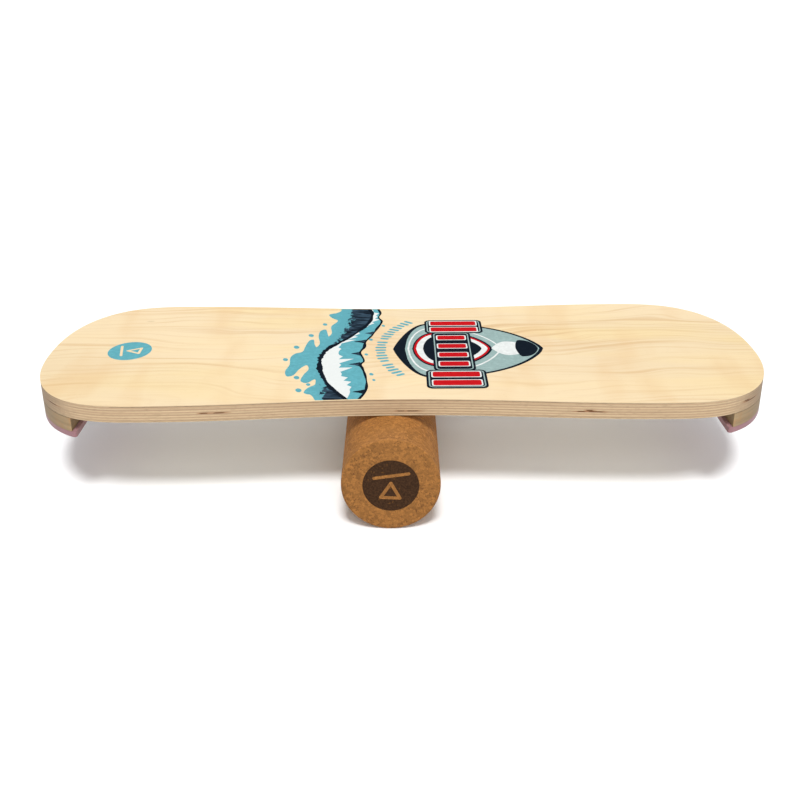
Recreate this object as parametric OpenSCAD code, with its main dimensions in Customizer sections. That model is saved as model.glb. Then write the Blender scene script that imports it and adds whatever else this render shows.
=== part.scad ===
// Balance board: a waisted plywood deck that rocks on a loose cork roller.
// +X runs along the deck and +Z is up. The origin is on the floor, halfway along the deck and
// halfway along the roller.
// All sizes are in millimetres.

/* [Deck] */
// Length of the deck, tip to tip
deck_l = 800; // [700:5:900]
// Width of the deck at its two widest places
deck_w = 308; // [282:1:340]
// Width of the deck at its waist
waist_w = 281; // [240:1:307]
// Distance from the middle of the deck to each widest place
widest_x = 270; // [200:5:300]
// Fullness of each end along the deck, where 2 is an ellipse and more is squarer
nose_fullness = 2.85; // [2:0.05:4]
// Fullness of each end across the deck, where 2 is an ellipse and more is squarer
shoulder_fullness = 2.25; // [2:0.05:4]
// Thickness of the deck
deck_t = 18; // [17:1:24]
// Number of veneers in the deck's plywood
plies = 13; // [7:2:13]
// Thickness of an inner veneer; the two face veneers share what is left
inner_ply_t = 1.4; // [1:0.1:1.5]

/* [Roller] */
// Diameter of the roller
roller_d = 100; // [70:1:130]
// Length of the roller
roller_l = 385; // [320:5:480]
// Rounding of the roller's two rims
roller_rim_r = 2.5; // [1:0.5:5]
// Place of the roller along the deck, from the middle of the deck
roller_x = -12; // [-60:1:60]
// Running gap between the roller and the deck above it
roller_gap = 0.3; // [0.1:0.1:0.5]
// Place of the deck's long middle line, from the middle of the roller
deck_y = 6; // [-30:1:30]

/* [Stops] */
// Length of each stop block, from the tip of the deck to the block's inner face
stop_l = 59; // [45:1:90]
// Height of each stop block
stop_h = 16; // [14:1:24]
// Thickness of the buffer pad under each block
pad_t = 6; // [2:0.5:6]
// How far each pad reaches past the inner face of its block
pad_lip = 4.5; // [0:0.5:10]

/* [Screws] */
// Number of screws that hold each stop block
screws_per_stop = 3; // [1:1:4]
// Distance between neighbouring screws
screw_pitch = 70; // [20:1:75]
// Distance from the tip of the deck to the row of screws
screw_inset = 32; // [28:1:40]
// Length of a screw
screw_l = 30; // [22:1:32]
// Outside diameter of a screw's thread
screw_d = 4; // [3:0.5:5]
// Diameter of a screw's countersunk head
screw_head_d = 8; // [7:0.5:9]

/* [Hidden] */
$fn = 96;
// Points along half the waist, and along one quarter of an end
waist_steps = 18;
nose_steps = 30;
// Points along the quarter circle of a roller rim
rim_steps = 6;

// Heights, from the floor up
deck_z = roller_d + roller_gap;
stop_z = deck_z - stop_h;
pad_z = stop_z - pad_t;
face_ply_t = (deck_t - (plies - 2) * inner_ply_t) / 2;
stop_x = deck_l / 2 - stop_l;

// Screw details
head_rim = 0.4;
screw_core_d = 0.65 * screw_d;
thread_pitch = 1.8;
plain_l = 9;
tip_l = 4;
turns = floor((screw_l - plain_l - tip_l) / thread_pitch);
recess_w = 0.9;
recess_l = 0.55 * screw_head_d;
recess_h = 1.8;
screw_fit = 0.05;

// One quarter of the deck's edge, from the waist to the tip: a cosine wave, then a full nose
function waist_point(k) =
    let (x = widest_x * k / waist_steps)
    [x, waist_w / 2 + (deck_w - waist_w) / 4 * (1 - cos(180 * x / widest_x))];
function nose_point(k) =
    let (q = sin(90 * k / nose_steps))
    [
        widest_x + (deck_l / 2 - widest_x) * q,
        deck_w / 2 * pow(1 - pow(q, nose_fullness), 1 / shoulder_fullness)
    ];
quarter = concat(
    [for (k = [0 : waist_steps - 1]) waist_point(k)],
    [for (k = [0 : nose_steps]) nose_point(k)]
);
tip = len(quarter) - 1;

// The whole edge, mirrored from that quarter, without its repeated points
outline = concat(
    quarter,
    [for (k = [tip - 1 : -1 : 0]) [quarter[k].x, -quarter[k].y]],
    [for (k = [1 : tip]) [-quarter[k].x, -quarter[k].y]],
    [for (k = [tip - 1 : -1 : 1]) [-quarter[k].x, quarter[k].y]]
);

// Plies are counted from the top face down
function two_digits(k) = str(k < 10 ? "0" : "", k);
function ply_name(k) =
    k == 1 ? "deck_top_veneer" : k == plies ? "deck_bottom_veneer" : str("deck_ply_", two_digits(k));
function ply_t(k) = k == 1 || k == plies ? face_ply_t : inner_ply_t;
function ply_z(k) = k == plies ? deck_z : deck_z + face_ply_t + (plies - 1 - k) * inner_ply_t;

// A slab with the deck's outline
module deck_slab(z, t) {
    translate([0, deck_y, z]) linear_extrude(t) polygon(outline);
}

// The end of such a slab, from x = from_x to the tip on the right
module end_slab(z, t, from_x) {
    intersection() {
        deck_slab(z, t);
        translate([from_x, -deck_w, z - 1]) cube([deck_l, 2 * deck_w, t + 2]);
    }
}

// Draws the right-hand shape as it is, or mirrored for the left
module on_side(side) {
    mirror([side == "left" ? 1 : 0, 0, 0]) children();
}

// Places a shape at each screw of the right-hand stop
module at_screws() {
    x = deck_l / 2 - screw_inset;
    for (k = [0 : screws_per_stop - 1])
        translate([x, deck_y + (k - (screws_per_stop - 1) / 2) * screw_pitch, stop_z]) children();
}

// The space that a screw takes, with its head down at z = 0
module screw_hole() {
    head_r = screw_head_d / 2 + screw_fit;
    hole_r = screw_d / 2 + screw_fit;
    rotate_extrude() polygon([
        [0, -1],
        [head_r, -1],
        [head_r, head_rim],
        [hole_r, head_rim + head_r - hole_r],
        [hole_r, screw_l - tip_l],
        [0, screw_l + screw_fit]
    ]);
}

// A countersunk wood screw: head down at z = 0, ringed thread, pointed tip
module screw() {
    head_r = screw_head_d / 2;
    outer_r = screw_d / 2;
    core_r = screw_core_d / 2;
    difference() {
        rotate_extrude() polygon(concat(
            [[0, 0], [head_r, 0], [head_r, head_rim]],
            [[core_r, head_rim + head_r - core_r], [core_r, plain_l]],
            [for (k = [0 : turns - 1], half = [0.5, 1])
                [half == 1 ? core_r : outer_r, plain_l + (k + half) * thread_pitch]],
            [[core_r, screw_l - tip_l], [0, screw_l]]
        ));
        for (turn = [0, 90])
            rotate([0, 0, turn])
                translate([-recess_l / 2, -recess_w / 2, -1]) cube([recess_l, recess_w, recess_h + 1]);
    }
}

// One veneer of the deck, with pilot holes where the screws reach it
module ply(k) {
    z = ply_z(k);
    long_grain = k % 2 == 1;
    color(k == 1 ? [0.94, 0.86, 0.70] : long_grain ? [0.86, 0.73, 0.56] : [0.70, 0.56, 0.40])
        difference() {
            deck_slab(z, ply_t(k));
            if (z < stop_z + screw_l)
                for (side = ["left", "right"]) on_side(side) at_screws() screw_hole();
        }
}

// A wooden block under one end of the deck, which stops the roller
module stop_block(side) {
    color([0.76, 0.64, 0.46]) on_side(side) difference() {
        end_slab(stop_z, stop_h, stop_x);
        at_screws() screw_hole();
    }
}

// A soft buffer pad under a stop block
module stop_pad(side) {
    color([0.69, 0.51, 0.55]) on_side(side) end_slab(pad_z, pad_t, stop_x - pad_lip);
}

// The row of screws that holds one stop block to the deck
module stop_screws(side) {
    color("silver") on_side(side) at_screws() screw();
}

// A solid cork roller across the deck, with rounded rims
module roller() {
    rim_r = roller_d / 2 - roller_rim_r;
    rim_y = roller_l / 2 - roller_rim_r;
    rim = [for (k = [0 : rim_steps])
        [rim_r + roller_rim_r * sin(90 * k / rim_steps), rim_y + roller_rim_r * cos(90 * k / rim_steps)]];
    color([0.72, 0.50, 0.30])
        translate([roller_x, 0, roller_d / 2]) rotate([90, 0, 0]) rotate_extrude() polygon(concat(
            [[0, roller_l / 2]],
            rim,
            [for (k = [rim_steps : -1 : 0]) [rim[k].x, -rim[k].y]],
            [[0, -roller_l / 2]]
        ));
}

for (k = [1 : plies])
    ply(k);
for (side = ["left", "right"]) {
    stop_block(side);
    stop_pad(side);
    stop_screws(side);
}
roller();
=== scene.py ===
"""The looks of a balance board, built around its CAD frame.

Sizes are in metres. +X runs along the deck, +Y across it and +Z up, and the floor is at Z = 0.
"""

import math
import random

import bmesh
import bpy
from bpy.props import FloatProperty, FloatVectorProperty, IntProperty, PointerProperty
from bpy.types import NodeSocket, Operator, Panel, PropertyGroup
from mathutils import Matrix, Vector, geometry, noise


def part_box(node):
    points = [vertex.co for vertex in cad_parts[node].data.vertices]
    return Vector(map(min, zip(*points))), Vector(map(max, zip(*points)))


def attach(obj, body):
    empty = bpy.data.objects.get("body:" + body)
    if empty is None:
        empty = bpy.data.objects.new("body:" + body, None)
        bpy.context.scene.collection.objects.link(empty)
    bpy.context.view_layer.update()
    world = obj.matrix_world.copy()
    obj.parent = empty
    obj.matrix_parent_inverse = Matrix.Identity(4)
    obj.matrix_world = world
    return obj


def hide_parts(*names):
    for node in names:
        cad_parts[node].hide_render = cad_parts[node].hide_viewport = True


bl_info = {
    "name": "Balance Board",
    "version": (1, 0, 0),
    "blender": (4, 5, 0),
    "location": "3D View > Sidebar > Balance Board",
    "description": "Finishes a plywood balance board with a cork roller",
    "category": "Add Mesh",
}

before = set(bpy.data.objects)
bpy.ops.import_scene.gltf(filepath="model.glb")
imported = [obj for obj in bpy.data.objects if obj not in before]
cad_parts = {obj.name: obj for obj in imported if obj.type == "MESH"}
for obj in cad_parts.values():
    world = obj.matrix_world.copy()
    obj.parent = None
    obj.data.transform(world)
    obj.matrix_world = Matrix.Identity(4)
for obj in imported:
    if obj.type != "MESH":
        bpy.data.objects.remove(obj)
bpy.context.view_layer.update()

MM = 0.001
DECK_LOW, DECK_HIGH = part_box("deck_top_veneer")
DECK_MIDDLE = (DECK_LOW + DECK_HIGH) / 2
DECK_TOP = DECK_HIGH.z
ROLLER_LOW, ROLLER_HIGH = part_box("roller")
ROLLER_MIDDLE = (ROLLER_LOW + ROLLER_HIGH) / 2
ROLLER_RADIUS = (ROLLER_HIGH.z - ROLLER_LOW.z) / 2
INNER_PLIES = sorted(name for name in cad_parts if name.startswith("deck_ply_"))
SIDES = ("left", "right")


# ---------------------------------------------------------------------------------------------
# Settings
# ---------------------------------------------------------------------------------------------


def length(name, default, description):
    """A length that a user may change, in metres."""
    return FloatProperty(name=name, description=description, default=default, unit="LENGTH", precision=5)


def colour(name, default, description):
    """A colour that a user may change."""
    return FloatVectorProperty(
        name=name, description=description, default=default, subtype="COLOR", size=3, min=0, max=1
    )


def angle(name, degrees, description):
    """An angle that a user may change."""
    return FloatProperty(name=name, description=description, default=math.radians(degrees), subtype="ANGLE")


def strength(name, default, description):
    """The strength of a light that a user may change."""
    return FloatProperty(name=name, description=description, default=default, min=0, max=20)


class BoardSizes(PropertyGroup):
    """Small shapes that the CAD frame leaves plain."""

    face_ease: length("Face Ease", 1.0 * MM, "Rounding of the deck's top and bottom edge")
    block_ease: length("Block Ease", 0.35 * MM, "Rounding of the stop blocks' rims")
    block_corner: length("Block Corner", 2.0 * MM, "Rounding of the stop blocks' upright corners")
    pad_ease: length("Pad Ease", 0.8 * MM, "Rounding of the buffer pads' rims")
    pad_corner: length("Pad Corner", 3.5 * MM, "Rounding of the buffer pads' upright corners")
    rim_round: length("Rim Round", 2.5 * MM, "Rounding of the roller's two rims")
    grain_depth: length("Grain Depth", 0.16 * MM, "Depth of the dents between the cork's granules")
    granule: length("Granule", 2.8 * MM, "Size of a cork granule")


class BoardColours(PropertyGroup):
    """The colours of the woods, the cork, the pads and the inks."""

    birch: colour("Birch", (0.72, 0.568, 0.357), "Lacquered face veneer")
    birch_dark: colour("Birch Grain", (0.57, 0.36, 0.165), "Dark lines of the face veneer")
    birch_raw: colour("Raw Birch", (0.66, 0.60, 0.50), "Bare veneer under the deck")
    ply_side: colour("Ply Side Grain", (0.56, 0.415, 0.255), "Veneer edge cut along its grain")
    ply_end: colour("Ply End Grain", (0.40, 0.27, 0.16), "Veneer edge cut across its grain")
    block: colour("Block", (0.35, 0.245, 0.132), "Stop block")
    pad: colour("Pad", (0.288, 0.142, 0.154), "Buffer pad")
    cork: colour("Cork", (0.265, 0.112, 0.027), "Cork granules")
    cork_dark: colour("Cork Bark", (0.085, 0.03, 0.010), "Bark flecks between the granules")
    burnt: colour("Burnt Cork", (0.038, 0.018, 0.0085), "Burnt mark on the roller")
    teal: colour("Teal Ink", (0.115, 0.365, 0.42), "Water and badge")
    slate: colour("Slate Ink", (0.038, 0.068, 0.10), "Dark sea")
    navy: colour("Navy Ink", (0.0075, 0.012, 0.019), "Outlines")
    white: colour("White Ink", (0.70, 0.72, 0.70), "Foam and key lines")
    mint: colour("Mint Ink", (0.29, 0.40, 0.385), "Pale bands of the emblem")
    red: colour("Red Ink", (0.50, 0.010, 0.014), "Bars of the emblem")


class BoardPrints(PropertyGroup):
    """Sizes and places of the prints, from the middle of the deck's top face."""

    ink: length("Ink Film", 0.05 * MM, "Thickness of one film of ink")
    margin: length("Print Margin", 2.0 * MM, "Bare wood between a print and the deck's edge")
    badge_x: length("Badge Place", -311 * MM, "Place of the badge's middle along the deck")
    badge_l: length("Badge Length", 49 * MM, "Length of the badge along the deck")
    emblem_x: length("Emblem Place", 76 * MM, "Place of the emblem's middle along the deck")
    emblem_l: length("Emblem Length", 172 * MM, "Length of the emblem, tip to tip")
    emblem_w: length("Emblem Width", 168 * MM, "Width of the emblem's pointed oval")
    dash_r: length("Dash Arc Radius", 139 * MM, "Radius of the arc of dashes")
    dash_x: length("Dash Arc Centre", 115 * MM, "Place of that arc's centre along the deck")
    burnt_share: FloatProperty(
        name="Burnt Disc Share",
        description="Diameter of the burnt disc, as a share of the roller's",
        default=0.568,
        min=0.2,
        max=0.9,
        subtype="FACTOR",
    )
    seed: IntProperty(name="Seed", description="Picks the uneven strokes of the wave", default=7, min=0)


class BoardStage(PropertyGroup):
    """Camera, floor and light."""

    camera_place: FloatVectorProperty(
        name="Camera Place",
        description="Place of the camera",
        default=(-2.3 * MM, -1086.9 * MM, 544.7 * MM),
        subtype="TRANSLATION",
        unit="LENGTH",
        size=3,
    )
    camera_pitch: angle("Camera Pitch", 24.161, "How far the camera looks down")
    camera_roll: angle("Camera Roll", -0.384, "How far the camera leans about its own line of sight")
    lens: FloatProperty(
        name="Lens", description="Focal length", default=46.07, unit="CAMERA", min=10, max=200
    )
    floor_size: length("Floor Size", 80.0, "Length of the studio floor's side")
    floor_white: colour("Floor", (0.94, 0.95, 0.96), "Colour of the floor")
    dome_colour: colour("Dome", (0.93, 0.97, 1), "Colour of the even light")
    dome_strength: strength("Dome Strength", 0.275, "Strength of the even light")
    key_strength: strength("Key Strength", 2.66, "Strength of the soft key light")
    key_softness: angle("Key Softness", 15, "Apparent size of the key light")
    key_lean: angle("Key Lean", 30, "How far the key light leans from overhead towards the camera")
    key_heading: angle("Key Heading", 3, "How far the key light is turned to the right")
    fill_strength: strength("Fill Strength", 1.0, "Strength of the low front light")
    fill_heading: angle("Fill Heading", 8, "How far the low front light is turned to the right")
    back_strength: strength("Back Strength", 1.08, "Strength of the low back light")
    low_softness: angle("Low Softness", 40, "Apparent size of the two low lights")
    low_lean: angle("Low Lean", 62, "How far the two low lights lean from overhead")


# ---------------------------------------------------------------------------------------------
# Materials
# ---------------------------------------------------------------------------------------------


class Finish:
    """A material under construction, with one short call for each kind of node that the finishes use."""

    def __init__(self, name):
        self.material = bpy.data.materials.new(name)
        self.material.use_nodes = True
        self.tree = self.material.node_tree
        self.shader = self.tree.nodes["Principled BSDF"]
        coordinates = self.node("ShaderNodeTexCoord")
        self.place = coordinates.outputs["Object"]
        self.normal = coordinates.outputs["Normal"]

    def node(self, kind, **settings):
        made = self.tree.nodes.new(kind)
        for name, value in settings.items():
            setattr(made, name, value)
        return made

    def feed(self, socket, value):
        """Links a socket to another, or sets it to a constant."""
        if isinstance(value, NodeSocket):
            self.tree.links.new(value, socket)
        elif isinstance(value, (tuple, list)) and len(value) == 3 and len(socket.default_value) == 4:
            socket.default_value = (*value, 1)
        else:
            socket.default_value = value

    def stretched(self, scale, shift=(0, 0, 0)):
        """The place on the piece, scaled along each axis and then moved."""
        made = self.node("ShaderNodeMapping")
        self.feed(made.inputs["Vector"], self.place)
        made.inputs["Scale"].default_value = scale
        made.inputs["Location"].default_value = shift
        return made.outputs["Vector"]

    def noise(self, vector, scale=1.0, detail=2.0, roughness=0.5, distortion=0.0, colour=False):
        made = self.node("ShaderNodeTexNoise")
        self.feed(made.inputs["Vector"], vector)
        for name, value in (
            ("Scale", scale),
            ("Detail", detail),
            ("Roughness", roughness),
            ("Distortion", distortion),
        ):
            made.inputs[name].default_value = value
        return made.outputs["Color" if colour else "Fac"]

    def cells(self, vector, scale=1.0, feature="F1", output="Distance"):
        made = self.node("ShaderNodeTexVoronoi", feature=feature)
        self.feed(made.inputs["Vector"], vector)
        made.inputs["Scale"].default_value = scale
        return made.outputs[output]

    def math(self, operation, a, b=0.0):
        made = self.node("ShaderNodeMath", operation=operation)
        self.feed(made.inputs[0], a)
        self.feed(made.inputs[1], b)
        return made.outputs[0]

    def vector(self, operation, a, b=(0, 0, 0), output="Vector"):
        made = self.node("ShaderNodeVectorMath", operation=operation)
        self.feed(made.inputs[0], a)
        self.feed(made.inputs[1], b)
        return made.outputs[output]

    def parts(self, vector):
        made = self.node("ShaderNodeSeparateXYZ")
        self.feed(made.inputs[0], vector)
        return made.outputs

    def remap(self, value, low, high, to_low=0.0, to_high=1.0):
        """value, taken from one range to another in a smooth step."""
        made = self.node("ShaderNodeMapRange", interpolation_type="SMOOTHSTEP")
        for socket, given in zip(made.inputs, (value, low, high, to_low, to_high)):
            self.feed(socket, given)
        return made.outputs[0]

    def mix(self, factor, a, b):
        made = self.node("ShaderNodeMix", data_type="RGBA")
        self.feed(made.inputs[0], factor)
        self.feed(made.inputs[6], a)
        self.feed(made.inputs[7], b)
        return made.outputs[2]

    def facing(self, axis):
        """How squarely the surface faces along one of the three axes, from 0 to 1."""
        return self.math("ABSOLUTE", self.parts(self.normal)[axis])

    def finish(self, base, roughness, bump=None, bump_depth=0.0, **constants):
        """Joins colour, roughness and bump to the shader, sets its constants and gives the material."""
        self.feed(self.shader.inputs["Base Color"], base)
        self.feed(self.shader.inputs["Roughness"], roughness)
        for name, value in constants.items():
            self.shader.inputs[name.replace("_", " ")].default_value = value
        if bump is not None:
            made = self.node("ShaderNodeBump")
            made.inputs["Distance"].default_value = bump_depth
            self.feed(made.inputs["Height"], bump)
            self.feed(self.shader.inputs["Normal"], made.outputs[0])
        return self.material


def shade(rgb, amount):
    """A colour made lighter or darker by a factor."""
    return tuple(min(1.0, part * amount) for part in rgb)


def tinted(rgb, scales):
    """A colour with its red, green and blue each scaled by its own factor."""
    return tuple(part * scale for part, scale in zip(rgb, scales))


def birch_face(name, colours, pale, gloss=0.04):
    """Birch veneer between pale and golden: long wavy grain, a faint figure across it, fine pores and a
    few pin knots. gloss is the strength of its shine."""
    f = Finish(name)
    pale = tuple(pale)
    bend = f.noise(f.stretched((2.3, 5.5, 1), (3.1, 0.4, 0)), detail=1.5)
    swing = f.noise(f.stretched((6, 11, 1), (0, 7.7, 0)), detail=2)
    x, y, _ = f.parts(f.place)
    drift = f.math("ADD", f.math("MULTIPLY", bend, 0.16), f.math("MULTIPLY", swing, 0.05))
    across = f.math("ADD", y, drift)
    made = f.node("ShaderNodeCombineXYZ")
    f.feed(made.inputs[0], f.math("MULTIPLY", x, 2.4))
    f.feed(made.inputs[1], f.math("MULTIPLY", across, 125))
    rings = f.noise(made.outputs[0], detail=3, roughness=0.62)
    lines = f.remap(rings, 0.46, 0.68)
    fibres = f.noise(f.stretched((14, 460, 9)), detail=3, roughness=0.7, distortion=0.3)
    figure = f.noise(f.stretched((17, 5, 1), (9, 0, 0)), detail=2)
    clouds = f.noise(f.stretched((2.2, 4.5, 1), (0, 0, 5)), detail=2)
    tint = f.noise(f.stretched((3.4, 13, 1), (4, 2, 0)), detail=2)
    base = f.mix(f.remap(tint, 0.40, 0.62), pale, tinted(pale, (1.02, 1.0, 0.86)))
    strength = f.remap(f.noise(f.stretched((5, 16, 1), (2, 6, 0)), detail=2), 0.36, 0.62, 0.22, 0.75)
    base = f.mix(f.math("MULTIPLY", lines, strength), base, tuple(colours.birch_dark))
    base = f.mix(f.remap(clouds, 0.35, 0.65, 0, 0.50), base, shade(pale, 1.10))
    base = f.mix(f.remap(figure, 0.45, 0.70, 0, 0.38), base, shade(colours.birch_dark, 1.15))
    base = f.mix(f.remap(fibres, 0.52, 0.80, 0, 0.22), base, shade(colours.birch_dark, 0.95))
    pores = f.cells(f.stretched((75, 520, 1)))
    base = f.mix(f.remap(pores, 0.05, 0.13, 0.30, 0), base, shade(colours.birch_dark, 0.62))
    knots = f.cells(f.stretched((5.5, 9, 1), (0.3, 0.2, 0)))
    base = f.mix(f.remap(knots, 0.012, 0.040, 0.28, 0), base, shade(colours.birch_dark, 0.70))
    height = f.math("ADD", f.math("MULTIPLY", fibres, 0.5), f.math("MULTIPLY", lines, 0.35))
    roughness = f.remap(fibres, 0.3, 0.8, 0.40, 0.52)
    return f.finish(base, roughness, height, 0.00006, Specular_IOR_Level=gloss)


def ply_edge(colours, turn, spots=()):
    """The sawn and sanded edge of one veneer, with painted shade darkening it towards the deck's tips. turn
    is its place in the stack, which picks the direction of its grain. spots are dark knots or gaps, as
    (place, reach)."""
    f = Finish(f"Ply edge {turn:02d}")
    along = turn % 2 == 1
    facing = f.facing(0)
    end_cut = f.remap(facing, 0.35, 0.85, 0, 1) if along else f.remap(facing, 0.35, 0.85, 1, 0)
    rng = random.Random(turn)
    tone = rng.uniform(0.86, 1.12)
    fine = f.noise(f.stretched((130, 130, 900), (turn, 0, 0)), detail=3, roughness=0.65)
    slow = f.noise(f.stretched((9, 9, 40), (0, turn, 0)), detail=2)
    base = f.mix(end_cut, shade(colours.ply_side, tone), shade(colours.ply_end, tone))
    base = f.mix(f.remap(slow, 0.35, 0.70, 0, 0.50), base, tuple(colours.ply_end))
    # Painted shade: faces that look towards the deck's tips are darkened.
    base = f.mix(f.remap(facing, 0.35, 0.90, 0, 0.85), base, shade(colours.ply_end, 0.64))
    base = f.mix(f.remap(fine, 0.48, 0.80, 0, 0.55), base, shade(colours.ply_end, 0.52))
    halo = tinted(colours.ply_end, (0.70, 0.50, 0.38))
    heart = tinted(colours.ply_end, (0.28, 0.17, 0.11))
    for place, reach in spots:
        away = f.vector("SUBTRACT", f.place, place)
        size = f.vector("DIVIDE", away, reach)
        far = f.math("ADD", f.vector("LENGTH", size, output="Value"), f.remap(fine, 0.3, 0.7, -0.2, 0.3))
        base = f.mix(f.remap(far, 0.9, 2.0, 0.70, 0), base, halo)
        base = f.mix(f.remap(far, 0.60, 1.0, 0.88, 0), base, heart)
    return f.finish(base, 0.62, fine, 0.00012, Specular_IOR_Level=0.25)


def block_wood(colours, top):
    """Plain sawn wood with straight bands and warm streaks, lightly oiled, with painted shade towards the
    deck's tips and a band of painted shade along its top, where it meets the deck."""
    f = Finish("Oiled block wood")
    bands = f.noise(f.stretched((5, 8, 210), (1, 0, 0)), detail=2, roughness=0.6)
    streaks = f.noise(f.stretched((90, 90, 150)), detail=3, roughness=0.7)
    fine = f.noise(f.stretched((60, 60, 900)), detail=3, roughness=0.7)
    base = f.mix(f.remap(bands, 0.35, 0.68, 0, 0.75), tuple(colours.block), shade(colours.block, 0.66))
    base = f.mix(f.remap(fine, 0.48, 0.78, 0, 0.45), base, shade(colours.block, 0.52))
    base = f.mix(f.remap(streaks, 0.42, 0.66, 0, 0.60), base, tinted(colours.block, (1.0, 0.80, 0.66)))
    # Painted shade: faces that look towards the deck's tips are darkened.
    base = f.mix(f.remap(f.facing(0), 0.40, 0.90, 0, 0.6), base, shade(colours.block, 0.60))
    # Painted shade in the joint: a dark band just under the block's top, where it meets the deck.
    z = f.parts(f.place)[2]
    base = f.mix(f.remap(z, top - 0.9 * MM, top - 0.5 * MM, 0, 0.75), base, shade(colours.block, 0.30))
    return f.finish(base, 0.58, fine, 0.00012, Specular_IOR_Level=0.2)


def pad_rubber(colours):
    """Soft foam rubber with a fine skin of closed cells."""
    f = Finish("Buffer rubber")
    cells = f.cells(f.place, 1500)
    blush = f.noise(f.place, 60, detail=3)
    base = f.mix(f.remap(blush, 0.35, 0.70), shade(colours.pad, 0.92), shade(colours.pad, 1.12))
    base = f.mix(f.remap(cells, 0.25, 0.75, 0.18, 0), base, shade(colours.pad, 0.55))
    return f.finish(base, 0.74, cells, 0.00008, Sheen_Weight=0.15, Specular_IOR_Level=0.3)


def pressed_cork(colours, granule):
    """Pressed cork: granules of many browns, thin dark seams and bark flecks, with painted light making the
    turned side paler than the sawn ends."""
    f = Finish("Pressed cork")
    wobble = f.noise(f.place, 420, detail=2, colour=True)
    push = f.vector("MULTIPLY", f.vector("SUBTRACT", wobble, (0.5, 0.5, 0.5)), (1.6 * MM,) * 3)
    place = f.vector("ADD", f.place, push)
    tones = f.parts(f.cells(place, 1 / granule, output="Color"))
    seams = f.cells(place, 1 / granule, feature="DISTANCE_TO_EDGE")
    small = f.parts(f.cells(place, 2.4 / granule, output="Color"))
    fine = f.noise(f.place, 900, detail=3, roughness=0.7)
    slow = f.noise(f.place, 38, detail=2)
    base = f.mix(tones[0], shade(colours.cork, 0.72), shade(colours.cork, 1.32))
    base = f.mix(f.remap(tones[1], 0.84, 0.90, 0, 0.40), base, shade(colours.cork, 0.58))
    base = f.mix(f.remap(small[2], 0.92, 0.94, 0, 0.65), base, tuple(colours.cork_dark))
    base = f.mix(f.remap(small[0], 0.90, 0.94, 0, 0.40), base, shade(colours.cork, 1.6))
    base = f.mix(f.remap(seams, 0.0, 0.08, 0.32, 0), base, shade(colours.cork_dark, 1.3))
    base = f.mix(f.remap(fine, 0.47, 0.70, 0, 0.45), base, shade(colours.cork, 0.50))
    base = f.mix(f.remap(slow, 0.35, 0.65, 0, 0.25), base, shade(colours.cork, 1.25))
    # Painted light: the turned side is made paler than the sawn ends.
    turned = f.remap(f.facing(1), 0.2, 0.8, 1, 0)
    base = f.mix(turned, base, f.vector("MULTIPLY", base, (1.38, 1.38, 1.38)))
    height = f.math("ADD", f.remap(seams, 0, 0.16), f.math("MULTIPLY", fine, 0.7))
    return f.finish(base, 0.80, height, 0.00012, Specular_IOR_Level=0.2)


def burnt_cork(colours):
    """Charred cork: dark brown with paler grains showing through."""
    f = Finish("Burnt cork")
    fine = f.noise(f.place, 520, detail=3, roughness=0.65)
    grains = f.parts(f.cells(f.place, 620, output="Color"))
    base = f.mix(f.remap(fine, 0.35, 0.70), shade(colours.burnt, 0.8), shade(colours.burnt, 1.6))
    base = f.mix(f.remap(grains[1], 0.984, 0.990, 0, 0.45), base, shade(colours.cork, 0.6))
    return f.finish(base, 0.75, fine, 0.0001, Specular_IOR_Level=0.06)


def ink(name, rgb, mottle=0.10):
    """Screen-printed ink: an even matt film with a slight mottle."""
    f = Finish(name)
    worn = f.noise(f.place, 240, detail=4, roughness=0.65)
    base = f.mix(f.remap(worn, 0.35, 0.75), shade(rgb, 1 - mottle), shade(rgb, 1 + mottle))
    roughness = f.remap(worn, 0.3, 0.7, 0.50, 0.60)
    return f.finish(base, roughness, Specular_IOR_Level=0.0)


def sea_ink(colours, left, bend):
    """The dark sea: slate ink with dark strokes, breaking up into teal towards its left side.
    left is that side's place along the deck, near and far, and bend the places across it between them."""
    f = Finish("Sea ink")
    strokes = f.noise(f.stretched((55, 230, 1), (0, 2, 0)), detail=3, roughness=0.6, distortion=0.2)
    chop = f.noise(f.stretched((230, 130, 1)), detail=2, roughness=0.6, distortion=0.7)
    x, y, _ = f.parts(f.place)
    away = f.math("SUBTRACT", x, f.remap(y, *bend, *left))
    teal = f.remap(f.math("ADD", chop, f.remap(away, 0, 22 * MM, 0.38, -0.20)), 0.50, 0.60)
    base = f.mix(f.remap(strokes, 0.40, 0.62), tuple(colours.navy), tuple(colours.slate))
    base = f.mix(f.math("MULTIPLY", teal, 0.92), base, tuple(colours.teal))
    return f.finish(base, 0.55, Specular_IOR_Level=0.0)


def screw_steel():
    """Zinc-plated steel with fine turning marks."""
    f = Finish("Zinc-plated steel")
    marks = f.noise(f.stretched((300, 300, 2600)), detail=2)
    tint = f.noise(f.place, 120, detail=2)
    base = f.mix(tint, (0.60, 0.60, 0.57), (0.74, 0.74, 0.70))
    roughness = f.remap(marks, 0.3, 0.7, 0.24, 0.42)
    return f.finish(base, roughness, marks, 0.00003, Metallic=1.0)


# ---------------------------------------------------------------------------------------------
# Shapes
# ---------------------------------------------------------------------------------------------


def add_piece(name, bm, material, smooth=False):
    """Makes an object of a bmesh and frees it."""
    bmesh.ops.recalc_face_normals(bm, faces=bm.faces)
    mesh = bpy.data.meshes.new(name)
    bm.to_mesh(mesh)
    bm.free()
    mesh.materials.append(material)
    for face in mesh.polygons:
        face.use_smooth = smooth
    piece = bpy.data.objects.new(name, mesh)
    bpy.context.scene.collection.objects.link(piece)
    return piece


def deck_outline():
    """The deck's edge, as points in order round its middle."""
    points = {(round(v.co.x, 6), round(v.co.y, 6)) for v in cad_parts["deck_top_veneer"].data.vertices}
    return sorted(points, key=lambda p: math.atan2(p[1] - DECK_MIDDLE.y, p[0] - DECK_MIDDLE.x))


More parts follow.
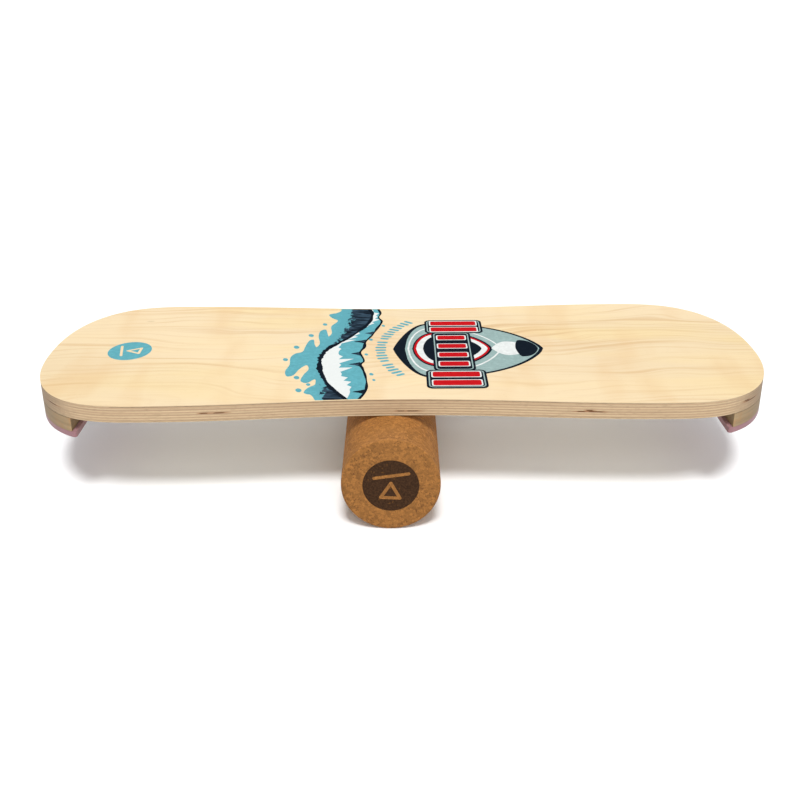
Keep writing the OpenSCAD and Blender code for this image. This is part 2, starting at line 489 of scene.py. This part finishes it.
def hull_outline(node):
    """The outer edge of a convex CAD slab, as points in order, without its screw holes."""
    points = sorted({(round(v.co.x, 6), round(v.co.y, 6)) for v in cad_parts[node].data.vertices})
    return [points[k] for k in geometry.convex_hull_2d([Vector(p) for p in points])]


def prism(bm, outline, low, high, place=lambda x, y, z: (x, y, z)):
    """Adds a closed prism on an outline, between two heights. place puts its points in the frame."""
    rings = [[bm.verts.new(place(x, y, z)) for x, y in outline] for z in (low, high)]
    bm.faces.new(reversed(rings[0]))
    bm.faces.new(rings[1])
    for k in range(len(outline)):
        after = (k + 1) % len(outline)
        bm.faces.new((rings[0][k], rings[0][after], rings[1][after], rings[1][k]))


def softened(outline, radius, round_enough=math.radians(150)):
    """The outline with its corners rounded, apart from those that are wider than round_enough."""
    points = [Vector(p) for p in outline]
    made = []
    for before, corner, after in zip(points[-1:] + points[:-1], points, points[1:] + points[:1]):
        back = (before - corner).normalized()
        ahead = (after - corner).normalized()
        if back.angle(ahead) > round_enough:
            made.append(corner)
            continue
        start = corner + back * radius
        end = corner + ahead * radius
        made += [start.lerp(corner, t).lerp(corner.lerp(end, t), t) for t in (0, 0.25, 0.5, 0.75, 1)]
    return made


def eased_slab(name, outline, low, high, material, ease_low=0.0, ease_high=0.0):
    """A slab whose two rims are bevelled, each with its own radius. Known fault: the rims of the face
    veneers and the lower rims of the blocks and pads come out square, with faces that have no area."""
    bm = bmesh.new()
    prism(bm, outline, low, high)
    shape = {"offset_type": "OFFSET", "segments": 4, "profile": 0.5, "affect": "EDGES"}
    for z, ease in ((low, ease_low), (high, ease_high)):
        if ease:
            rim = [e for e in bm.edges if all(abs(v.co.z - z) < 1e-7 for v in e.verts)]
            bmesh.ops.bevel(bm, geom=rim, offset=ease, **shape)
    piece = add_piece(name, bm, material, smooth=True)
    piece.modifiers.new("Flat faces stay flat", "WEIGHTED_NORMAL").weight = 60
    return piece


def add_stop_slabs(part, material, corner, ease):
    """Adds the slabs that stand for one layer of both stops."""
    for side in SIDES:
        node = f"{side}_stop_{part}"
        low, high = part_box(node)
        outline = softened(hull_outline(node), corner)
        piece = eased_slab(f"{side}_{part}", outline, low.z, high.z, material, ease, ease)
        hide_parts(node)
        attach(piece, "deck")


def on_deck(x, y, z):
    """A point above the deck's top face, from its middle."""
    return DECK_MIDDLE.x + x, DECK_MIDDLE.y + y, DECK_TOP + z


def films(name, outlines, level, material, slot, prints, place=on_deck, body="deck"):
    """A layer of ink: thin closed films, whose tops stand one film higher for each level."""
    bm = bmesh.new()
    for outline in outlines:
        prism(bm, outline, -prints.ink, level * prints.ink, place)
    bmesh.ops.triangulate(bm, faces=[face for face in bm.faces if len(face.verts) > 4])
    piece = add_piece(name, bm, material)
    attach(piece, body)


def disc(x, y, radius, steps, oval, turn=0.0):
    """An ellipse, turned by an angle. oval is its height as a share of its width."""
    cos_turn, sin_turn = math.cos(turn), math.sin(turn)
    points = []
    for k in range(steps):
        a = 2 * math.pi * k / steps
        u, v = radius * math.cos(a), radius * oval * math.sin(a)
        points.append((x + u * cos_turn - v * sin_turn, y + u * sin_turn + v * cos_turn))
    return points


def bar(start, end, width, steps=10):
    """A straight stroke with round ends."""
    start, end = Vector(start), Vector(end)
    heading = math.atan2(end.y - start.y, end.x - start.x)
    points = []
    for centre, turned in ((end, -math.pi / 2), (start, math.pi / 2)):
        for k in range(steps + 1):
            a = heading + turned + math.pi * k / steps
            points.append((centre.x + width / 2 * math.cos(a), centre.y + width / 2 * math.sin(a)))
    return points


def rounded_rectangle(x_low, x_high, y_low, y_high, corner, steps=5):
    """A rectangle with rounded corners."""
    points = []
    for x, y, turned in (
        (x_high - corner, y_low + corner, -0.5),
        (x_high - corner, y_high - corner, 0),
        (x_low + corner, y_high - corner, 0.5),
        (x_low + corner, y_low + corner, 1),
    ):
        for k in range(steps + 1):
            a = math.pi * (turned + 0.5 * k / steps)
            points.append((x + corner * math.cos(a), y + corner * math.sin(a)))
    return points


def through(points, t):
    """The value at t of a smooth curve through (t, value) points."""
    k = max(i for i, (at, _) in enumerate(points[:-1]) if at <= t or i == 0)
    before, start, end, after = (points[min(max(j, 0), len(points) - 1)] for j in (k - 1, k, k + 1, k + 2))
    span = end[0] - start[0]
    q = (t - start[0]) / span
    slope_in = (end[1] - before[1]) / (end[0] - before[0]) * span
    slope_out = (after[1] - start[1]) / (after[0] - start[0]) * span
    return (
        (2 * q**3 - 3 * q**2 + 1) * start[1]
        + (q**3 - 2 * q**2 + q) * slope_in
        + (3 * q**2 - 2 * q**3) * end[1]
        + (q**3 - q**2) * slope_out
    )


# The board's plain sign, a tilted bar over a triangle: each stroke's start and end, as shares of the
# radius of its disc, and its film. Strokes that touch each other lie in films of their own.
SIGN = (
    ("bar", (-0.60, 0.27), (0.60, 0.50), 2),
    ("base", (-0.34, -0.48), (0.34, -0.48), 2),
    ("right_leg", (0.34, -0.48), (0.0, 0.10), 3),
    ("left_leg", (0.0, 0.10), (-0.34, -0.48), 4),
)


def add_sign(name, radius, turn, ground, lines, prints, place, body="deck", oval=1.0):
    """Adds a disc with the sign on it. ground and lines are each a material and its slot, and the slot is
    not used.
    oval is the disc's height as a share of its width."""
    films(f"{name}_disc", [disc(0, 0, radius, 96, oval)], 1, *ground, prints, place, body)
    spin = Matrix.Rotation(turn, 2)
    for part, start, end, level in SIGN:
        stroke = bar(spin @ Vector(start) * radius, spin @ Vector(end) * radius, 0.12 * radius)
        films(f"{name}_{part}", [stroke], level, *lines, prints, place, body)


# ---------------------------------------------------------------------------------------------
# Operators
# ---------------------------------------------------------------------------------------------


class BALANCEBOARD_OT_stage(Operator):
    """Set the camera, the floor and the light"""

    bl_idname = "balanceboard.stage"
    bl_label = "Stage"

    def execute(self, context):
        stage = context.scene.board_stage
        self.add_camera(context, stage)
        self.add_floor(stage)
        self.add_dome(context, stage)
        key = (stage.key_softness, stage.key_lean)
        low = (stage.low_softness, stage.low_lean)
        self.add_sun(context, "Key", stage.key_strength, *key, stage.key_heading)
        self.add_sun(context, "Front fill", stage.fill_strength, *low, stage.fill_heading)
        self.add_sun(context, "Back fill", stage.back_strength, *low, math.pi)
        return {"FINISHED"}

    def add_camera(self, context, stage):
        data = bpy.data.cameras.new("Camera")
        data.lens = stage.lens
        camera = bpy.data.objects.new("Camera", data)
        context.scene.collection.objects.link(camera)
        pitch = Matrix.Rotation(math.pi / 2 - stage.camera_pitch, 4, "X")
        roll = Matrix.Rotation(stage.camera_roll, 4, "Z")
        camera.matrix_world = Matrix.Translation(stage.camera_place) @ pitch @ roll
        context.scene.camera = camera

    def add_floor(self, stage):
        f = Finish("Studio floor")
        haze = f.noise(f.place, 0.8, detail=1)
        white = tuple(stage.floor_white)
        base = f.mix(haze, shade(white, 0.997), white)
        bm = bmesh.new()
        bmesh.ops.create_grid(bm, x_segments=8, y_segments=8, size=stage.floor_size / 2)
        add_piece("studio_floor", bm, f.finish(base, 0.9, Specular_IOR_Level=0.0))

    def add_dome(self, context, stage):
        world = bpy.data.worlds.new("Studio dome")
        context.scene.world = world
        world.use_nodes = True
        dome = world.node_tree.nodes["Background"]
        dome.inputs["Color"].default_value = (*stage.dome_colour, 1)
        dome.inputs["Strength"].default_value = stage.dome_strength
        context.scene.view_settings.view_transform = "Standard"

    def add_sun(self, context, name, power, softness, lean, heading):
        """Adds a soft sun that leans from overhead towards the camera, turned about the vertical."""
        data = bpy.data.lights.new(name, "SUN")
        data.energy = power
        data.angle = softness
        sun = bpy.data.objects.new(name, data)
        context.scene.collection.objects.link(sun)
        sun.matrix_world = Matrix.Rotation(heading, 4, "Z") @ Matrix.Rotation(lean, 4, "X")


class BALANCEBOARD_OT_face_veneers(Operator):
    """Add the deck's top and bottom veneer"""

    bl_idname = "balanceboard.face_veneers"
    bl_label = "Face Veneers"

    def execute(self, context):
        ease = context.scene.board_sizes.face_ease
        colours = context.scene.board_colours
        outline = deck_outline()
        lacquered = birch_face("Lacquered birch face", colours, colours.birch)
        bare = birch_face("Bare birch face", colours, colours.birch_raw, 0.2)
        for face, birch, turn, eases in (
            ("top", lacquered, 1, {"ease_high": ease}),
            ("bottom", bare, len(INNER_PLIES) + 2, {"ease_low": ease}),
        ):
            node = f"deck_{face}_veneer"
            low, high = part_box(node)
            piece = eased_slab(f"{face}_veneer", outline, low.z, high.z, birch, **eases)
            piece.data.materials.append(ply_edge(colours, turn))
            for polygon in piece.data.polygons:
                polygon.material_index = 1 if abs(polygon.normal.z) < 0.6 else 0
            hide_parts(node)
            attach(piece, "deck")
        return {"FINISHED"}


class BALANCEBOARD_OT_inner_plies(Operator):
    """Finish the edges of the inner veneers, with a few dark knots and gaps"""

    bl_idname = "balanceboard.inner_plies"
    bl_label = "Inner Plies"

    # Knots and gaps: number of the ply, place along the deck and half length, in metres
    SPOTS = (
        (7, -0.3635, 0.0085), (7, 0.361, 0.0085), (6, 0.355, 0.004),
        (7, -0.201, 0.005), (7, -0.186, 0.008), (10, -0.001, 0.005), (10, 0.011, 0.007),
        (7, 0.190, 0.004), (8, 0.196, 0.009), (8, 0.181, 0.005),
    )
    # How far a spot reaches across the deck, and half its height
    SPOT_DEPTH = 20 * MM
    SPOT_HEIGHT = 1.8 * MM

    def execute(self, context):
        colours = context.scene.board_colours
        near_side = [p for p in deck_outline() if p[1] < DECK_MIDDLE.y]
        for name in INNER_PLIES:
            turn = int(name.removeprefix("deck_ply_"))
            low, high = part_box(name)
            spots = []
            for ply, x, reach in self.SPOTS:
                if ply == turn:
                    edge = min(near_side, key=lambda p: abs(p[0] - x))
                    size = (reach, self.SPOT_DEPTH, self.SPOT_HEIGHT)
                    spots.append(((x, edge[1], (low.z + high.z) / 2), size))
            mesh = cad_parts[name].data
            mesh.materials.clear()
            mesh.materials.append(ply_edge(colours, turn, spots))
        return {"FINISHED"}


class BALANCEBOARD_OT_stop_blocks(Operator):
    """Add the two stop blocks"""

    bl_idname = "balanceboard.stop_blocks"
    bl_label = "Stop Blocks"

    def execute(self, context):
        sizes = context.scene.board_sizes
        wood = block_wood(context.scene.board_colours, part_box("left_stop_block")[1].z)
        add_stop_slabs("block", wood, sizes.block_corner, sizes.block_ease)
        return {"FINISHED"}


class BALANCEBOARD_OT_buffer_pads(Operator):
    """Add the two buffer pads"""

    bl_idname = "balanceboard.buffer_pads"
    bl_label = "Buffer Pads"

    def execute(self, context):
        sizes = context.scene.board_sizes
        rubber = pad_rubber(context.scene.board_colours)
        add_stop_slabs("pad", rubber, sizes.pad_corner, sizes.pad_ease)
        return {"FINISHED"}


class BALANCEBOARD_OT_stop_screws(Operator):
    """Finish the screws that hold the stop blocks"""

    bl_idname = "balanceboard.stop_screws"
    bl_label = "Stop Screws"

    def execute(self, context):
        steel = screw_steel()
        for side in SIDES:
            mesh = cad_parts[f"{side}_stop_screws"].data
            mesh.materials.clear()
            mesh.materials.append(steel)
        return {"FINISHED"}


class BALANCEBOARD_OT_cork_roller(Operator):
    """Add the roller, with rounded rims and a grained surface"""

    bl_idname = "balanceboard.cork_roller"
    bl_label = "Cork Roller"

    # Distance between neighbouring points of the surface
    STEP = 2.1 * MM
    # Rings of points across each end and over each rim
    END_RINGS = 22
    RIM_RINGS = 6
    # Width of the slope into a seam, as a share of a granule
    SEAM = 0.5

    def execute(self, context):
        sizes = context.scene.board_sizes
        around = round(2 * math.pi * ROLLER_RADIUS / self.STEP)
        bm = bmesh.new()
        rings = []
        for radius, y in self.profile(sizes.rim_round):
            count = around if radius > 0 else 1
            rings.append([bm.verts.new(self.point(sizes, radius, y, k / around)) for k in range(count)])
        for ring, after in zip(rings, rings[1:]):
            for k in range(around):
                corners = [ring[k % len(ring)], after[k % len(after)]]
                corners += [after[(k + 1) % len(after)], ring[(k + 1) % len(ring)]]
                bm.faces.new(dict.fromkeys(corners))
        cork = pressed_cork(context.scene.board_colours, sizes.granule)
        piece = add_piece("cork_roller", bm, cork, smooth=True)
        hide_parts("roller")
        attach(piece, "roller")
        return {"FINISHED"}

    def profile(self, rim_round):
        """Points (radius, y) of the outline, from the middle of one end to the middle of the other."""
        end = ROLLER_HIGH.y - ROLLER_MIDDLE.y
        flat = ROLLER_RADIUS - rim_round
        straight = end - rim_round
        face = [(flat * k / self.END_RINGS, end) for k in range(self.END_RINGS)]
        rim = [
            (flat + rim_round * math.sin(a), straight + rim_round * math.cos(a))
            for a in (math.pi / 2 * k / self.RIM_RINGS for k in range(self.RIM_RINGS + 1))
        ]
        count = round(2 * straight / self.STEP)
        side = [(ROLLER_RADIUS, straight - 2 * straight * k / count) for k in range(1, count)]
        return face + rim + side + [(r, -y) for r, y in reversed(face + rim)]

    def point(self, sizes, radius, y, share):
        """A point of the surface, sunk a little between the granules."""
        a = 2 * math.pi * share
        x, z = radius * math.cos(a), radius * math.sin(a)
        distances, _ = noise.voronoi(Vector((x, y, z)) / sizes.granule)
        sunk = min(1.0, max(0.0, 1 - (distances[1] - distances[0]) / self.SEAM))
        sunk = sizes.grain_depth * (0.75 * sunk + 0.25 * noise.noise(Vector((x, y, z)) * 60) ** 2)
        in_x = sunk * x / ROLLER_RADIUS
        in_z = sunk * z / ROLLER_RADIUS
        on_end = abs(y) > ROLLER_HIGH.y - ROLLER_MIDDLE.y - 1e-6
        in_y = math.copysign(sunk, y) if on_end else 0.0
        return ROLLER_MIDDLE.x + x - in_x, ROLLER_MIDDLE.y + y - in_y, ROLLER_MIDDLE.z + z - in_z


class BALANCEBOARD_OT_burnt_marks(Operator):
    """Burn a disc with a plain sign into both ends of the roller"""

    bl_idname = "balanceboard.burnt_marks"
    bl_label = "Burnt Marks"

    def execute(self, context):
        scene = context.scene
        prints = scene.board_prints
        burnt = burnt_cork(scene.board_colours)
        cork = pressed_cork(scene.board_colours, scene.board_sizes.granule)
        look = ((burnt, "burnt_cork"), (cork, "cork"))
        radius = prints.burnt_share * ROLLER_RADIUS
        for name, facing in (("front", -1), ("back", 1)):
            end = ROLLER_LOW.y if facing < 0 else ROLLER_HIGH.y

            def place(x, y, z):
                return ROLLER_MIDDLE.x - facing * x, end + facing * z, ROLLER_MIDDLE.z + y

            add_sign(f"{name}_burnt", radius, math.radians(-3), *look, prints, place, "roller")
        return {"FINISHED"}


class BALANCEBOARD_OT_badge_print(Operator):
    """Print the slightly oval badge near the deck's left end"""

    bl_idname = "balanceboard.badge_print"
    bl_label = "Badge Print"

    # The badge's width across the deck, as a share of its length along it
    OVAL = 1.15

    def execute(self, context):
        prints = context.scene.board_prints
        colours = context.scene.board_colours
        teal = ink("Teal ink", colours.teal)
        birch = birch_face("Birch in the badge", colours, colours.birch)

        def place(x, y, z):
            return on_deck(prints.badge_x + x, y, z)

        look = ((teal, "ink_teal"), (birch, "face_veneer"))
        add_sign("badge", prints.badge_l / 2, math.radians(90), *look, prints, place, oval=self.OVAL)
        return {"FINISHED"}


class BALANCEBOARD_OT_wave_print(Operator):
    """Print the band of sea, foam and water across the deck"""

    bl_idname = "balanceboard.wave_print"
    bl_label = "Wave Print"

    # Half of the deck's width that the lines below are drawn for; they stretch to the real one
    DRAWN = 140
    # Lines across the deck, as (place across, place along), in mm from its middle
    CREST = ((-140, -58), (-98, -79), (-42, -91), (0, -85), (35, -63), (84, -41), (119, -36), (140, -40))
    FOAM = ((-140, -57), (-119, -55), (-77, -66), (-28, -72), (14, -72), (42, -58), (105, -33), (140, -38))
    SEA = ((-140, -84), (-105, -91), (-70, -92), (-28, -94), (14, -90), (63, -78), (112, -74), (140, -74))
    BACK = (
        (-140, -44), (-119, -38), (-90, -38), (-58, -43), (-46, -46), (-36, -42), (-10, -47), (6, -43),
        (24, -42), (45, -35), (66, -30), (94, -24), (108, -28), (124, -26), (140, -29),
    )
    # The splash's shore and fingers, as (place along, place across), in mm
    SPLASH = (
        (-89, -140), (-94, -127), (-102, -120), (-99, -108), (-92, -100), (-93, -86), (-101, -95),
        (-108, -89), (-106, -72), (-102, -58), (-105, -46), (-112, -57), (-117, -73), (-124, -76),
        (-127, -62), (-124, -44), (-125, -24), (-121, -12), (-113, -6), (-111, 10), (-108, 28),
        (-103, 31), (-101, 18), (-98, 8), (-95, 20), (-98, 42), (-97, 60), (-91, 65), (-88, 52),
        (-86, 42), (-83, 54), (-85, 76), (-78, 96), (-86, 106), (-90, 118), (-82, 124), (-76, 132),
        (-76, 140),
    )
    # Where the notches cut in across the deck, in mm
    NOTCHES = (-122, -46, -14, 24, 52)
    # A notch's outline: place across the deck from its tip, in mm, and depth as a share of its reach
    SLIVER = ((-6, 0), (-2, 0.5), (0, 1), (2, 0.8), (4, 0.4), (7, 0))
    # Drops: place along and across the deck, and half length, in mm
    DROPS = (
        (-93, 84, 4.35), (-107, 46, 4.95), (-121, 8, 5.1), (-130, -30, 4.5), (-113, -82, 4.8),
        (-99, -101, 3.6), (-108, -116, 5.1), (-36, 31, 3.75), (-40, -16, 3.3), (-33, -74, 3.6),
        (-30, -90, 2.7), (-22, 78, 3.3),
    )
    # A drop's width as a share of its length, and its turn from the deck's long line
    DROP_OVAL = 0.62
    DROP_TURN = math.radians(105)

    def execute(self, context):
        prints = context.scene.board_prints
        colours = context.scene.board_colours
        self.margin = prints.margin
        self.outline = [p for p in deck_outline() if p[1] > DECK_MIDDLE.y]
        rng = random.Random(prints.seed)
        teal = ink("Wave teal ink", colours.teal)
        navy = ink("Wave navy ink", colours.navy, 0.2)
        white = ink("Wave white ink", colours.white, 0.02)
        left = [DECK_MIDDLE.x + self.SEA[k][1] * MM for k in (3, 6)]
        bend = [DECK_MIDDLE.y + self.SEA[k][0] * MM for k in (3, 6)]
        sea = sea_ink(colours, left, bend)

        splash = self.rounded(self.SPLASH) + [(x, y) for y, x in self.sampled(self.CREST)[::-1]]
        spikes = self.spiked(rng, self.FOAM, count=46, tallest=19, lean=-8)
        foam = self.sampled(self.CREST) + spikes[::-1]
        layers = (
            ("sea", [self.strip(self.SEA, self.CREST)], 2, sea, "ink_slate"),
            ("body", [self.strip(self.CREST, self.BACK)], 2, teal, "ink_teal"),
            ("foam", [foam], 3, white, "ink_white"),
            ("notches", self.notches(rng), 3, sea, "ink_slate"),
            ("crest_line", [self.brush(rng, self.CREST, half=1.9, rough=3.4)], 4, navy, "ink_navy"),
            ("back_line", [self.brush(rng, self.BACK, half=1.2, rough=0.6)], 4, navy, "ink_navy"),
        )
        films("wave_splash", [[self.fitted(x, y) for x, y in splash]], 1, teal, "ink_teal", prints)
        for name, lines, level, material, slot in layers:
            outlines = [[self.fitted(x, y) for y, x in line] for line in lines]
            films(f"wave_{name}", outlines, level, material, slot, prints)
        drops = [
            disc(x * MM, y * MM, half * MM, 20, self.DROP_OVAL, self.DROP_TURN) for x, y, half in self.DROPS
        ]
        films("wave_drops", drops, 1, teal, "ink_teal", prints)
        return {"FINISHED"}

    def fitted(self, x, y):
        """A drawn point in metres, with y stretched so that the print ends just inside the deck's edge."""
        edge = min(self.outline, key=lambda p: abs(p[0] - DECK_MIDDLE.x - x * MM))
        share = min(1.0, max(-1.0, y / self.DRAWN))
        return x * MM, share * (edge[1] - DECK_MIDDLE.y - self.margin)

    def rounded(self, corners, steps=5):
        """A smooth line through points, by Catmull and Rom's rule."""
        points = []
        ends = (corners[0], *corners, corners[-1])
        for before, start, end, after in zip(ends, ends[1:], ends[2:], ends[3:]):
            for k in range(steps):
                q = k / steps
                points.append(
                    tuple(
                        start[i]
                        + q * (end[i] - before[i]) / 2
                        + q**2 * (before[i] - 2.5 * start[i] + 2 * end[i] - after[i] / 2)
                        + q**3 * (3 * (start[i] - end[i]) + after[i] - before[i]) / 2
                        for i in (0, 1)
                    )
                )
        return points + [corners[-1]]

    def sampled(self, line, count=80):
        """(y, x) points along a line, from the near edge to the far one."""
        places = [self.DRAWN * (2 * k / count - 1) for k in range(count + 1)]
        return [(y, through(line, y)) for y in places]

    def strip(self, left, right):
        """The band between two lines."""
        return self.sampled(left) + self.sampled(right)[::-1]

    def spiked(self, rng, line, count, tallest, lean):
        """A line with brush spikes to its right. lean moves their tips towards the near edge."""
        points = []
        for k in range(count + 1):
            y = self.DRAWN * (2 * k / count - 1)
            inside = 1 - abs(y / self.DRAWN) ** 5
            share = rng.uniform(0.15, 1.0) ** 1.6 * inside if k % 2 else rng.uniform(0, 0.12) * inside
            points.append((y - lean * share, through(line, y) + tallest * share))
        return points

    def brush(self, rng, line, half, rough):
        """A drawn line of uneven width, roughest near its middle."""
        left = []
        right = []
        for y, x in self.sampled(line, 110):
            uneven = rough * (0.25 + 0.75 * math.exp(-(((y + 20) / 50) ** 2)))
            swell = 1 + 0.5 * math.sin(y / 6.5) * math.sin(y / 17 + 1)
            left.append((y, x - half * swell - rng.uniform(0, uneven)))
            right.append((y, x + half * swell + rng.uniform(0, uneven) * 0.4))
        return left + right[::-1]

    def notches(self, rng):
        """Dark slivers that run in from the back of the wave."""
        slivers = []
        for y in self.NOTCHES:
            reach = rng.uniform(10, 14)
            root = through(self.BACK, y)
            slivers.append([(y + across, root - reach * depth) for across, depth in self.SLIVER])
        return slivers


class BALANCEBOARD_OT_dash_print(Operator):
    """Print the arc of dashes beside the emblem"""

    bl_idname = "balanceboard.dash_print"
    bl_label = "Dash Print"

    # Runs of dashes, as first and last angle on the arc, in degrees from the deck's long line
    RUNS = ((-33, -20), (-15, 9), (14, 40))
    # Angle between neighbouring dashes, in degrees
    PITCH = 3.3
    WIDTH = 4.6 * MM
    # Height of a dash, and of every third one as a share of that
    HEIGHT = 8.5 * MM
    SHORT = 0.7

    def execute(self, context):
        prints = context.scene.board_prints
        dashes = []
        for first, last in self.RUNS:
            count = round((last - first) / self.PITCH)
            for k in range(count + 1):
                a = math.radians(first + (last - first) * k / count)
                reach = self.HEIGHT / 2 * (1.0 if k % 3 else self.SHORT)
                ends = [
                    (prints.dash_x - r * math.cos(a), r * math.sin(a))
                    for r in (prints.dash_r - reach, prints.dash_r + reach)
                ]
                dashes.append(bar(ends[0], ends[1], self.WIDTH, 5))
        teal = ink("Dash teal ink", context.scene.board_colours.teal)
        films("dash_arc", dashes, 1, teal, "ink_teal", prints)
        return {"FINISHED"}


class BALANCEBOARD_OT_emblem_print(Operator):
    """Print the emblem: a pointed oval of nested bands with barred plates"""

    bl_idname = "balanceboard.emblem_print"
    bl_label = "Emblem Print"

    # Leaves of the pointed oval: ends and widest place along it and width, as shares, bluntness of the
    # left end, and ink, from the lowest film up
    LEAVES = (
        (0.000, 1.000, 0.24, 1.000, 0.85, "navy"),
        (0.080, 0.974, 0.25, 0.952, 0.58, "mint"),
        (0.096, 0.720, 0.26, 0.820, 0.60, "white"),
        (0.108, 0.708, 0.26, 0.785, 0.60, "mint"),
        (0.128, 0.662, 0.30, 0.645, 0.60, "navy"),
        (0.138, 0.645, 0.30, 0.605, 0.60, "red"),
        (0.154, 0.630, 0.30, 0.550, 0.60, "white"),
        (0.200, 0.590, 0.30, 0.470, 0.60, "navy"),
        (0.655, 0.890, 0.76, 0.250, 0.90, "white"),
        (0.815, 0.964, 0.85, 0.300, 0.70, "navy"),
    )
    # Plates: low and high x and y from the emblem's left tip and middle line, in mm
    PLATES = ((38, 107, 50, 95), (45, 91, -66, 52), (36, 101, -114, -64))
    # Bars on the plates: low and high x, and y of the bar's middle, and its thickness, in mm
    BARS = (
        (45, 100, 83, 14), (45, 100, 62, 14),
        (52, 84, 34, 13), (52, 84, 7, 13), (52, 84, -20, 13), (52, 84, -47, 13),
        (43, 94, -77, 14), (43, 94, -100, 14),
    )

    def execute(self, context):
        prints = context.scene.board_prints
        colours = context.scene.board_colours
        names = ("navy", "mint", "white", "red")
        inks = {name: ink(f"Emblem {name} ink", getattr(colours, name)) for name in names}
        tip = prints.emblem_x - prints.emblem_l / 2
        layers = []
        for number, (low, high, widest, width, blunt, tint) in enumerate(self.LEAVES):
            left, right, middle = (tip + share * prints.emblem_l for share in (low, high, widest))
            outline = self.leaf(left, right, middle, width * prints.emblem_w / 2, blunt)
            layers.append((f"leaf_{number + 1:02d}", [outline], tint))
        for name, inset, corner, tint in (
            ("plate", 0.0, 7.0, "navy"),
            ("key_line", 2.4, 5.5, "mint"),
            ("ground", 3.8, 4.5, "navy"),
        ):
            plates = [
                self.rectangle(tip, x0 + inset, x1 - inset, y0 + inset, y1 - inset, corner)
                for x0, x1, y0, y1 in self.PLATES
            ]
            layers.append((name, plates, tint))
        for name, grow, tint in (("bar_edges", 1.5, "white"), ("bars", 0.0, "red")):
            bars = [
                self.rectangle(tip, x0 - grow, x1 + grow, y - thick / 2 - grow, y + thick / 2 + grow, 2.5)
                for x0, x1, y, thick in self.BARS
            ]
            layers.append((name, bars, tint))
        for level, (name, outlines, tint) in enumerate(layers):
            films(f"emblem_{name}", outlines, level + 1, inks[tint], f"ink_{tint}", prints)
        return {"FINISHED"}

    def rectangle(self, tip, x_low, x_high, y_low, y_high, corner):
        """A rounded rectangle, from millimetres along from the emblem's left tip."""
        return rounded_rectangle(
            tip + x_low * MM, tip + x_high * MM, y_low * MM, y_high * MM, corner * MM
        )

    def leaf(self, left, right, middle, half, blunt):
        """A leaf outline, pointed at both ends and widest at its middle place. A lower blunt makes its left
        end blunter."""
        upper = []
        for k in range(61):
            x = left + (right - left) * k / 60
            if x < middle:
                height = math.sin(math.pi / 2 * ((x - left) / (middle - left)) ** blunt)
            else:
                height = (1 - min(1.0, (x - middle) / (right - middle)) ** 2.4) ** 0.72
            upper.append((x, half * height))
        lower = [(x, -y) for x, y in upper[1:-1]]
        return upper[::-1] + lower


class VIEW3D_PT_balance_board(Panel):
    """Lists the steps that finish the board"""

    bl_label = "Balance Board"
    bl_space_type = "VIEW_3D"
    bl_region_type = "UI"
    bl_category = "Balance Board"

    def draw(self, context):
        for step in STEPS:
            self.layout.operator(step.bl_idname)


GROUPS = {
    "board_sizes": BoardSizes,
    "board_colours": BoardColours,
    "board_prints": BoardPrints,
    "board_stage": BoardStage,
}
STEPS = (
    BALANCEBOARD_OT_stage,
    BALANCEBOARD_OT_face_veneers,
    BALANCEBOARD_OT_inner_plies,
    BALANCEBOARD_OT_stop_blocks,
    BALANCEBOARD_OT_buffer_pads,
    BALANCEBOARD_OT_stop_screws,
    BALANCEBOARD_OT_cork_roller,
    BALANCEBOARD_OT_burnt_marks,
    BALANCEBOARD_OT_badge_print,
    BALANCEBOARD_OT_wave_print,
    BALANCEBOARD_OT_dash_print,
    BALANCEBOARD_OT_emblem_print,
)
CLASSES = (*GROUPS.values(), *STEPS, VIEW3D_PT_balance_board)


def register():
    for cls in CLASSES:
        bpy.utils.register_class(cls)
    for name, group in GROUPS.items():
        setattr(bpy.types.Scene, name, PointerProperty(type=group))


def unregister():
    for name in GROUPS:
        delattr(bpy.types.Scene, name)
    for cls in reversed(CLASSES):
        bpy.utils.unregister_class(cls)


def main():
    register()
    for step in STEPS:
        space, name = step.bl_idname.split(".")
        getattr(getattr(bpy.ops, space), name)()


if __name__ == "__main__":
    main()
